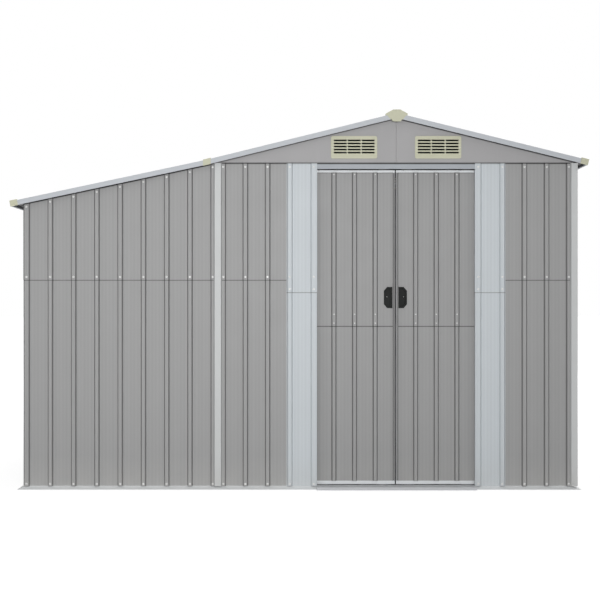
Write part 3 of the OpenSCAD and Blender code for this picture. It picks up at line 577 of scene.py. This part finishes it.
class SHED_OT_coat_sheets(bpy.types.Operator):
    """Make every finish and give each CAD piece its own"""
    bl_idname = "shed.coat_sheets"
    bl_label = "Coat the sheets"

    def execute(self, context):
        coats = context.scene.shed_coats
        pitch, depth = coats.line_pitch, coats.line_depth
        # The third value of each rolled is painted shade on the flanks of the ribs, and of the
        # posts' slanted sides
        rolled = (pitch, depth, 0.44, 0.0)
        # Each lapped entry paints a shadow line: under the upper sheets' lapped seams, at the
        # gables' foot, under the verge trims and on the header and door rails
        steels = {
            "wall_sheet": (coats.wall, {"rolled": rolled, "lapped": [
                (WALL_SEAM, 0.005, 0.95), (WALL_TOP, 0.006, 1.1), (-VERGE_DROP, 0.011, 2.2, 1)]}),
            "door_sheet": (coats.door, {"rolled": rolled, "lapped": [
                (DOOR_SEAM, 0.006, 1.0), (DOOR_TOP, 0.006, 0.35)]}),
            "gable_sheet": (coats.gable, {"lapped": [
                (WALL_TOP, -0.005, 0.75), (-VERGE_DROP, 0.011, 1.5, 1)]}),
            "roof_sheet": (coats.roof, {"dust": 0.0, "rolled": (pitch, depth, 0.0, 1.0)}),
            "jamb_sheet": (coats.jamb, {"rolled": (pitch, depth, 0.12, 0.0), "lapped": [
                (JAMB_SEAM, 0.005, 0.7), (WALL_TOP, 0.006, 0.6)]}),
            "post_steel": (coats.post, {"rolled": (pitch, 0.0, 0.3, 0.0)}),
            "trim_steel": (coats.trim, {"dust": 0.0}),
            "header_steel": (coats.header, {"dust": 0.0, "lapped": [(WALL_TOP, 0.0075, 1.5)]}),
            "sill_steel": (coats.sill, {"dust": 0.1, "scuff": 0.3}),
            "base_steel": (coats.base, {"dust": 0.0, "scuff": 0.2}),
            # The hangers over the top rail and the shoes under the bottom rail are in the shade
            "door_frame_steel": (coats.door_frame, {"dust": 0.0, "scuff": 0.1, "lapped": [
                (RAIL_TOP + RAIL_LIP, -0.05, 0.9), (DOOR_FOOT - RAIL_LIP, 0.03, 0.8)]}),
        }
        for name, (tint, values) in steels.items():
            MATERIALS[name] = coated_steel(name, tint, **values)
        for name, build, *values in (
                ("frame_steel", zinc, coats.frame),
                ("beige_plastic", moulded_plastic, coats.cap),
                ("black_plastic", moulded_plastic, coats.handle, 0.5, 0.15),
                # Near-black louvre blades: painted shade behind the vents' slots
                ("louvre_plastic", moulded_plastic, coats.louvre, 0.6, 0.1),
                ("seal_rubber", moulded_plastic, coats.seal, 0.7, 0.2),
                # Dark seal beads: painted shade beside the door skin
                ("bead_rubber", moulded_plastic, coats.bead, 0.7, 0.1),
                ("screw_zinc", zinc, (0.75, 0.75, 0.74)),
                ("washer_nylon", moulded_plastic, (0.86, 0.86, 0.85), 0.4)):
            MATERIALS[name] = build(name, *values)
        for finish, nodes in FINISH_NODES.items():
            for name in nodes:
                piece = frame["nodes"][name]
                if not piece.material_slots:
                    piece.data.materials.append(finish_of(finish))
                for slot in piece.material_slots:
                    slot.material = finish_of(finish)
        return {"FINISHED"}


# Screws

def wall_screws():
    """Places and outward directions of the screws in the walls."""
    found = []

    def column(x, y, facing, rows):
        """Screws up one rib, at each height through so many sheets."""
        for height, sheets in rows:
            reach = RIB_HEIGHT + sheets * SHEET
            found.append((Vector((x + reach * facing[0], y + reach * facing[1], height)),
                          Vector(facing)))

    def row_with_ends(first, last, pitch, first_shift, last_shift):
        row = rib_row(first, last, pitch)
        return [row[0] + first_shift, *row[1:-1], row[-1] + last_shift]

    foot, lap, top = SCREW_FOOT, WALL_SEAM + SCREW_LAP, WALL_TOP - SCREW_TOP
    lower = [(foot, 1), (lap, 2)]
    plain = [*lower, (top, 2)]
    at_jamb = [(foot, 2), (JAMB_SEAM + JAMB_SCREW_LAP, 3), (lap, 3), (top, 3)]
    # Beside a post a rib's crest is cut short, and its screw stands in the middle of what is left
    cut = (RIB_CREST - RIB_EDGE) / 2
    lean_cut = (RIB_CREST - LEAN_EDGE) / 2
    lean_ribs = row_with_ends(POST_LEFT - POST_SLANT - LEAN_EDGE,
                              -SIDE - RIB_HEIGHT + CORNER_RIB, RIB_PITCH, -lean_cut,
                              -LEAN_SCREW_SHIFT)
    first = MAIN_HALF - POST_FACE - POST_SLANT - RIB_EDGE
    jamb_rib = first - 3 * FRONT_PITCH
    web = FRONT + POST_OUT - POST_FACE - POST_SLANT - RIB_EDGE
    for sign in (-1, 1):
        for x in lean_ribs:
            column(x, sign * FRONT, (0, sign, 0), [*lower, (lean_top(x) - LEAN_SCREW_TOP, 2)])
    for place in row_with_ends(first, -first, RIB_PITCH, -cut, cut):
        column(RIDGE_X + place, FRONT, (0, 1, 0), plain)
    for hand in (-1, 1):
        for place in row_with_ends(first, jamb_rib, FRONT_PITCH, -cut, 0)[:-1]:
            column(RIDGE_X + hand * place, -FRONT, (0, -1, 0), plain)
        for place in (jamb_rib, JAMB_EDGE + JAMB_CREST / 2 + JAMB_SCREW_SHIFT):
            column(RIDGE_X + hand * place, -FRONT, (0, -1, 0), at_jamb)
    for y in rib_row(FRONT - LEFT_RIB, LEFT_RIB - FRONT, RIB_PITCH):
        column(-SIDE, y, (-1, 0, 0), [*lower, (LEFT_TOP - SCREW_TOP, 2)])
    for y in row_with_ends(web, -web, RIB_PITCH, -cut, cut):
        column(SIDE, y, (1, 0, 0), plain)
    return found


def roof_screws():
    """Places and outward directions of the screws down the three slopes."""
    found = []
    last_rib = FRONT + ROOF_OUT - 1.5 * SHEET - ROOF_RIB
    # Each slope's top line, side and pitch, its first two rows and how far out the last one is
    slopes = [
        (RIDGE_X, RIDGE_Z, 1, MAIN_PITCH, RIDGE_SCREW, MAIN_HALF / 2,
         EAVE_X - EAVE_SCREW - RIDGE_X),
        (RIDGE_X, RIDGE_Z, -1, MAIN_PITCH, RIDGE_SCREW, MAIN_HALF / 2,
         RIDGE_X - JOINT_X - JOINT_SCREW_OVER),
        (JOINT_X, JOINT_Z, -1, LEAN_PITCH, JOINT_SCREW, (SIDE + JOINT_X) / 2,
         EAVE_X - EAVE_SCREW + JOINT_X)]
    for x, z, hand, pitch, first, second, reach in slopes:
        down = Vector((hand * math.cos(pitch), 0, -math.sin(pitch)))
        out = Vector((hand * math.sin(pitch), 0, math.cos(pitch)))
        for run, rise in ((first, 0.0), (second, ROOF_CREST), (reach / math.cos(pitch), 0.0)):
            spot = Vector((x, 0, z)) + run * down + rise * out
            found += [(spot + Vector((0, y, 0)), out)
                      for y in rib_row(last_rib, -last_rib, RIB_PITCH)]
    return found


def vent_screws():
    """Places and outward directions of the screws in the vents' frames."""
    found = []
    for node, sign in (("front_vents", -1), ("back_vents", 1)):
        a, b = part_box(node)
        face = a.y if sign < 0 else b.y
        for hand in (-1, 1):
            for edge in (a.x + VENT_RIM / 2, a.x + VENT_WIDTH - VENT_RIM / 2):
                x = edge if hand < 0 else 2 * RIDGE_X - edge
                found.append((Vector((x, face, (a.z + b.z) / 2)), Vector((0, sign, 0))))
    return found


def door_screws(hand):
    """Places and outward directions of the screws in one door's ribs."""
    return [(Vector((RIDGE_X + hand * place, -DOOR_CREST, height)), Vector((0, -1, 0)))
            for place in DOOR_SCREWS_ACROSS
            for height in (DOOR_SEAM + DOOR_SCREW_LAP, DOOR_SEAM + DOOR_SCREW_OVER,
                           DOOR_TOP - DOOR_SCREW_TOP)]


def handle_screws(hand):
    """Place and outward direction of the screw in the floor of one handle's recess."""
    middle = (low("left_door_handle").z + high("left_door_handle").z) / 2
    spot = Vector((RIDGE_X + hand * HANDLE_SCREW_ACROSS, -HANDLE_FLOOR,
                   middle + HANDLE_SCREW_RISE))
    return [(spot, Vector((0, -1, 0)))]


def placed(name, data, place=(0, 0, 0)):
    """A new object in the scene."""
    piece = bpy.data.objects.new(name, data)
    bpy.context.scene.collection.objects.link(piece)
    piece.location = place
    return piece


def point_object(name, places):
    """A mesh of bare points that carry their outward direction as facing."""
    mesh = bpy.data.meshes.new(name)
    mesh.from_pydata([spot for spot, _ in places], [], [])
    facing = mesh.attributes.new("facing", "FLOAT_VECTOR", "POINT")
    for index, (_, out) in enumerate(places):
        facing.data[index].vector = out
    return placed(name, mesh)


def with_tree(piece, tree, values):
    """Runs a tree on a piece with its inputs set by their sockets, and keeps the plain mesh."""
    modifier = piece.modifiers.new(tree.name, "NODES")
    modifier.node_group = tree
    sockets = {item.name: item.identifier for item in tree.interface.items_tree
               if item.item_type == "SOCKET" and item.in_out == "INPUT"}
    for label, value in values.items():
        modifier[sockets[label]] = value
    piece.data.update()
    graph = bpy.context.evaluated_depsgraph_get()
    graph.update()
    made = bpy.data.meshes.new_from_object(piece.evaluated_get(graph))
    if not made.polygons:
        raise RuntimeError(f"{tree.name} made nothing on {piece.name}")
    piece.modifiers.clear()
    points = piece.data
    piece.data = made
    bpy.data.meshes.remove(points)
    made.name = piece.name
    return piece


def instances(tree, points, shape, **turn):
    """A shape on every point, with a Rotation if it is given."""
    return add(tree, "GeometryNodeInstanceOnPoints",
               {"Points": points, "Instance": shape, **turn}).outputs["Instances"]


def turned_instances(tree, points, shape, seed=None):
    """A shape on every point, its Z along the point's facing, with a turn of its own by seed."""
    rotation = add(tree, "FunctionNodeAlignRotationToVector", {"Vector": facing_attribute(tree)},
                   axis="Z").outputs["Rotation"]
    if seed is not None:
        chance = add(tree, "FunctionNodeRandomValue", {2: 0.0, 3: 2 * math.pi, "Seed": seed},
                     data_type="FLOAT").outputs[1]
        rotation = add(tree, "FunctionNodeRotateRotation",
                       {"Rotation": rotation, "Rotate By": about(tree, (0, 0, 1), chance)},
                       rotation_space="LOCAL").outputs["Rotation"]
    return instances(tree, points, shape, Rotation=rotation)


def realized(tree, items, material):
    real = add(tree, "GeometryNodeRealizeInstances", {0: items}).outputs[0]
    return add(tree, "GeometryNodeSetMaterial", {"Geometry": real, "Material": material}).outputs[0]


def facing_attribute(tree):
    return add(tree, "GeometryNodeInputNamedAttribute", {"Name": "facing"},
               data_type="FLOAT_VECTOR").outputs["Attribute"]


def about(tree, axis, angle):
    """A rotation about an axis."""
    return add(tree, "FunctionNodeAxisAngleToRotation",
               {"Axis": axis, "Angle": angle}).outputs["Rotation"]


def cone(tree, sides, foot, share, rise):
    """A low cone on Z = 0, whose crown is a share of its foot."""
    crown = calc(tree, "MULTIPLY", foot, share)
    return add(tree, "GeometryNodeMeshCone", {"Vertices": sides, "Radius Bottom": foot,
                                              "Radius Top": crown, "Depth": rise}).outputs["Mesh"]


def block(tree, **size):
    """A block with the given X, Y and Z about the origin."""
    return add(tree, "GeometryNodeMeshCube", {"Size": joined(tree, **size)}).outputs["Mesh"]


def moved(tree, shape, **move):
    """A shape after a Translation or a Rotation."""
    return add(tree, "GeometryNodeTransform", {"Geometry": shape, **move}).outputs[0]


def build_screw_tree():
    """A screw with a washer on every point, its head cut with a crossed recess."""
    tree, source, target = new_group("Sheet screws", GEOMETRY_TREE, {
        "Geometry": GEOMETRY, "Washer radius": 0.0052, "Washer height": 0.0012,
        "Head radius": 0.0036, "Head height": 0.0016, "Recess width": 0.0009, "Seed": 7,
        "Washer finish": MATERIAL, "Head finish": MATERIAL}, {"Geometry": GEOMETRY})
    points, slot, tall = source["Geometry"], source["Recess width"], source["Head height"]
    washer = cone(tree, 14, source["Washer radius"], 0.8, source["Washer height"])
    head = moved(tree, cone(tree, 12, source["Head radius"], 0.6, tall),
                 Translation=joined(tree, Z=source["Washer height"]))
    reach = calc(tree, "MULTIPLY", source["Head radius"], 0.95)
    top = joined(tree, Z=calc(tree, "ADD", source["Washer height"], tall))
    bars = [moved(tree, block(tree, X=x, Y=y, Z=tall), Translation=top)
            for x, y in ((reach, slot), (slot, reach))]
    cut = add(tree, "GeometryNodeMeshBoolean", {"Mesh 1": head, "Mesh 2": bars},
              operation="DIFFERENCE").outputs["Mesh"]
    sets = [realized(tree, turned_instances(tree, points, washer), source["Washer finish"]),
            realized(tree, turned_instances(tree, points, cut, source["Seed"]),
                     source["Head finish"])]
    feed(tree, target, {0: add(tree, "GeometryNodeJoinGeometry", {0: sets}).outputs[0]})
    return tree


class SHED_OT_add_screws(bpy.types.Operator):
    """Put a screw with a washer through every rib of the walls, roof and doors"""
    bl_idname = "shed.add_screws"
    bl_label = "Add the screws"

    def execute(self, context):
        sizes = context.scene.shed_screws
        tree = build_screw_tree()
        sets = [("wall_screws", "shed", wall_screws(), 1.0, "washer_nylon"),
                ("roof_screws", "shed", roof_screws(), 1.0, "washer_nylon"),
                ("vent_screws", "shed", vent_screws(), VENT_SCREW_SCALE, "beige_plastic")]
        for part, places, scale, washer in (
                ("door", door_screws, sizes.door_scale, "screw_zinc"),
                ("handle", handle_screws, sizes.handle_scale, "black_plastic")):
            sets += [(f"{side}_{part}_screws", f"{side}_door", places(hand), scale, washer)
                     for side, hand in (("left", -1), ("right", 1))]
        for name, body, places, scale, washer in sets:
            piece = with_tree(point_object(name, places), tree, {
                "Washer radius": sizes.washer_radius * scale,
                "Washer height": sizes.washer_height * scale,
                "Head radius": sizes.head_radius * scale,
                "Head height": sizes.head_height * scale,
                "Recess width": sizes.recess_width * scale,
                "Seed": sizes.seed,
                "Washer finish": finish_of(washer),
                "Head finish": finish_of("screw_zinc")})
            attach(piece, body)
        return {"FINISHED"}


# Vent louvres

LOUVRE_GAP = 0.001
# How far the stack stands over the vent's middle, as a share of the slots' pitch
LOUVRE_RISE = 0.23


def build_louvre_tree():
    """A stack of tilted blades on every point, looking along the point's facing."""
    tree, source, target = new_group("Vent louvres", GEOMETRY_TREE, {
        "Geometry": GEOMETRY, "Blades": 5, "Pitch": 0.0146, "Width": 0.194, "Depth": 0.010,
        "Thickness": 0.0012, "Tilt": 0.5236, "Finish": MATERIAL}, {"Geometry": GEOMETRY})
    # In a stack Z looks out of the wall, X runs across it and Y stands up
    blade = block(tree, X=source["Width"], Y=source["Thickness"], Z=source["Depth"])
    blade = moved(tree, blade, Rotation=about(tree, (1, 0, 0), source["Tilt"]))
    gaps = calc(tree, "SUBTRACT", source["Blades"], 1)
    foot = calc(tree, "MULTIPLY", calc(tree, "MULTIPLY", gaps, -0.5), source["Pitch"])
    row = add(tree, "GeometryNodeMeshLine", {
        "Count": source["Blades"], "Start Location": joined(tree, Y=foot),
        "Offset": joined(tree, Y=source["Pitch"])}, mode="OFFSET").outputs["Mesh"]
    # Across and up are set for each wall, so that no stack rolls about its facing
    upright = add(tree, "FunctionNodeAxesToRotation",
                  {"Primary Axis": facing_attribute(tree), "Secondary Axis": (0, 0, 1)},
                  primary_axis="Z", secondary_axis="Y").outputs["Rotation"]
    stacks = instances(tree, source["Geometry"], instances(tree, row, blade), Rotation=upright)
    feed(tree, target, {0: realized(tree, stacks, source["Finish"])})
    return tree


class SHED_OT_add_louvres(bpy.types.Operator):
    """Put the tilted blades behind the slots of the gable vents"""
    bl_idname = "shed.add_louvres"
    bl_label = "Add the vent louvres"

    def execute(self, context):
        sizes = context.scene.shed_louvres
        places = []
        for node, sign in (("front_vents", -1), ("back_vents", 1)):
            a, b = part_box(node)
            back_face = b.y if sign < 0 else a.y
            for x in (a.x + VENT_WIDTH / 2, b.x - VENT_WIDTH / 2):
                places.append((Vector((x, back_face - sign * (sizes.depth / 2 + LOUVRE_GAP),
                                       (a.z + b.z) / 2 + LOUVRE_RISE * SLOT_PITCH)),
                               Vector((0, sign, 0))))
        piece = with_tree(point_object("vent_louvres", places), build_louvre_tree(), {
            "Blades": sizes.count, "Pitch": SLOT_PITCH, "Width": sizes.width,
            "Depth": sizes.depth, "Thickness": sizes.thickness, "Tilt": sizes.tilt,
            "Finish": finish_of("louvre_plastic")})
        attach(piece, "shed")
        return {"FINISHED"}


# Door seals

SEAL_INSET = 0.002
# A rib's corners: shares of its pitch and of its height
SEAL_RIB = ((0.15, 1.0), (0.65, 1.0), (0.80, 0.4))


class SHED_OT_add_seals(bpy.types.Operator):
    """Put a ribbed rubber strip on the meeting edge of each door"""
    bl_idname = "shed.add_seals"
    bl_label = "Add the door seals"

    def execute(self, context):
        sizes = context.scene.shed_seals
        ends = (low("left_door_lower").z + SEAL_INSET, DOOR_TOP - SEAL_INSET)
        gap = (low("right_door_frame").x - high("left_door_frame").x) / 2
        width = DOOR_STILE - sizes.margin - sizes.skin_margin
        pitch = width / sizes.ribs
        # The section runs from the edge beside the gap to the edge at the skin
        section = [(sizes.margin, 0.0)]
        for i in range(sizes.ribs):
            start = sizes.margin + width * i / sizes.ribs
            section += [(start + across * pitch, sizes.height * rise) for across, rise in SEAL_RIB]
        section.append((sizes.margin + width, 0.0))
        n = len(section)
        faces = [(i, (i + 1) % n, n + (i + 1) % n, n + i) for i in range(n)]
        faces += [tuple(range(n - 1, -1, -1)), tuple(range(n, 2 * n))]
        for hand, body in ((-1, "left_door"), (1, "right_door")):
            mesh = bpy.data.meshes.new(f"{body}_seal")
            mesh.from_pydata([(RIDGE_X + hand * (gap + x), -DOOR_FACE - rise, z)
                              for z in ends for x, rise in section], [],
                             [tuple(face[::hand]) for face in faces])
            mesh.materials.append(finish_of("seal_rubber"))
            mesh.materials.append(finish_of("bead_rubber"))
            # The crest of the last rib is the dark bead, painted shade along the seal's edge beside
            # the skin
            mesh.polygons[3 * sizes.ribs - 2].material_index = 1
            piece = placed(mesh.name, mesh)
            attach(piece, body)
        return {"FINISHED"}


# Stage

MIDDLE = (0, 0, 0.9)
# Each lamp's place, aim and size; the key is aimed past the shed's upper left corner, so that
# its light fades to the right
LAMPS = {"key": ((0.25, -6.5, 1.5), (-5.0, 0.0, 3.0), (1.6, 0.6)),
         "fill": ((-4.0, -8.0, 2.6), MIDDLE, (5.0, 2.5)),
         "top": ((0, 0, 6.5), MIDDLE, (5.0, 4.0)),
         "back": ((2.0, 9.0, 3.6), MIDDLE, (5.0, 3.5))}


def lamp(name, place, target, size, power):
    data = bpy.data.lights.new(name, "AREA")
    data.shape = "RECTANGLE"
    data.size, data.size_y = size
    data.energy = power
    piece = placed(name, data, place)
    piece.rotation_euler = (Vector(target) - Vector(place)).to_track_quat("-Z", "Y").to_euler()


def seen_directly(tree):
    """1 for rays of the camera and for mirrored and transmitted ones."""
    path = add(tree, "ShaderNodeLightPath").outputs
    seen = calc(tree, "MAXIMUM", path["Is Camera Ray"], path["Is Glossy Ray"])
    return calc(tree, "MAXIMUM", seen, path["Is Transmission Ray"])


def build_floor(tint):
    """A wide plain floor that shows little more than the shed's shadow."""
    reach = 60.0
    mesh = bpy.data.meshes.new("floor")
    mesh.from_pydata([(-reach, -reach, 0), (reach, -reach, 0), (reach, reach, 0),
                      (-reach, reach, 0)], [], [(0, 1, 2, 3)])
    material, tree, shader = opened("floor")
    place = texture_place(tree)
    mottled = mix_colour(tree, noise(tree, place, scale=3.0), (*[c * 0.98 for c in tint], 1),
                         (*tint, 1))
    # Seen directly, the floor is white with a faint shadow; for the light it is plain and pale
    seen = seen_directly(tree)
    feed(tree, shader, {"Base Color": mix_colour(tree, seen, mottled, (0.3, 0.3, 0.3, 1)),
                        "Roughness": 1.0, "Specular IOR Level": 0.0})
    span = add(tree, "ShaderNodeVectorMath", {0: place}, operation="LENGTH").outputs["Value"]
    # The glow is a little weaker near the shed and missing under it
    away = ramp(tree, span, 2.0, 4.5, 0.88, 1.0)
    parts = split(tree, place)
    outside = calc(tree, "MAXIMUM", *(
        calc(tree, "GREATER_THAN", calc(tree, "ABSOLUTE", parts[axis]), edge)
        for axis, edge in (("X", SIDE), ("Y", FRONT))))
    lit = calc(tree, "MULTIPLY", calc(tree, "MULTIPLY", seen, outside), away)
    glow = add(tree, "ShaderNodeEmission", {"Strength": lit})
    both = add(tree, "ShaderNodeAddShader", {0: shader.outputs[0], 1: glow.outputs[0]})
    feed(tree, tree.nodes["Material Output"], {"Surface": both.outputs[0]})
    mesh.materials.append(material)
    # A little under the shed's feet, so that the two don't share a plane
    piece = placed("floor", mesh, (0, 0, -0.0005))


class SHED_OT_set_stage(bpy.types.Operator):
    """Make the camera, the lamps, the white background and the floor"""
    bl_idname = "shed.set_stage"
    bl_label = "Set the stage"

    def execute(self, context):
        scene = context.scene
        stage = scene.shed_stage
        camera = bpy.data.cameras.new("camera")
        camera.lens = stage.lens
        camera.sensor_width = 36.0
        camera.clip_end = 200.0
        scene.camera = placed("camera", camera,
                              (stage.camera_x, -stage.camera_distance, stage.camera_height))
        scene.camera.rotation_euler = (math.pi / 2, 0, 0)
        for name, (place, target, size) in LAMPS.items():
            lamp(name, place, target, size, getattr(stage, f"{name}_power"))
        world = bpy.data.worlds.new("studio")
        scene.world = world
        world.use_nodes = True
        tree = world.node_tree
        seen = seen_directly(tree)
        hidden = calc(tree, "MULTIPLY", calc(tree, "SUBTRACT", 1.0, seen), stage.world_level)
        feed(tree, tree.nodes["Background"], {"Color": (1, 1, 1, 1),
                                              "Strength": calc(tree, "ADD", seen, hidden)})
        scene.view_settings.view_transform = "Standard"
        build_floor(stage.floor)
        return {"FINISHED"}


class SHED_PT_builder(bpy.types.Panel):
    """Lists the steps that dress the shed"""
    bl_idname = "SHED_PT_builder"
    bl_label = "Storage Shed"
    bl_space_type = "VIEW_3D"
    bl_region_type = "UI"
    bl_category = "Shed"

    def draw(self, context):
        for step in STEPS:
            self.layout.operator(step.bl_idname)
        for group in SETTINGS:
            settings = getattr(context.scene, group)
            box = self.layout.box()
            for name in settings.__annotations__:
                box.prop(settings, name)


STEPS = (SHED_OT_coat_sheets, SHED_OT_add_screws, SHED_OT_add_louvres, SHED_OT_add_seals,
         SHED_OT_set_stage)
SETTINGS = {"shed_coats": CoatingSettings, "shed_screws": ScrewSettings,
            "shed_louvres": LouvreSettings, "shed_seals": SealSettings,
            "shed_stage": StageSettings}


def register():
    for item in (*SETTINGS.values(), *STEPS, SHED_PT_builder):
        bpy.utils.register_class(item)
    for name, group in SETTINGS.items():
        setattr(bpy.types.Scene, name, PointerProperty(type=group))


def unregister():
    for name in SETTINGS:
        delattr(bpy.types.Scene, name)
    for item in reversed((*SETTINGS.values(), *STEPS, SHED_PT_builder)):
        bpy.utils.unregister_class(item)


def main():
    register()
    bpy.ops.shed.coat_sheets()
    bpy.ops.shed.add_screws()
    bpy.ops.shed.add_louvres()
    bpy.ops.shed.add_seals()
    bpy.ops.shed.set_stage()


if __name__ == "__main__":
    main()
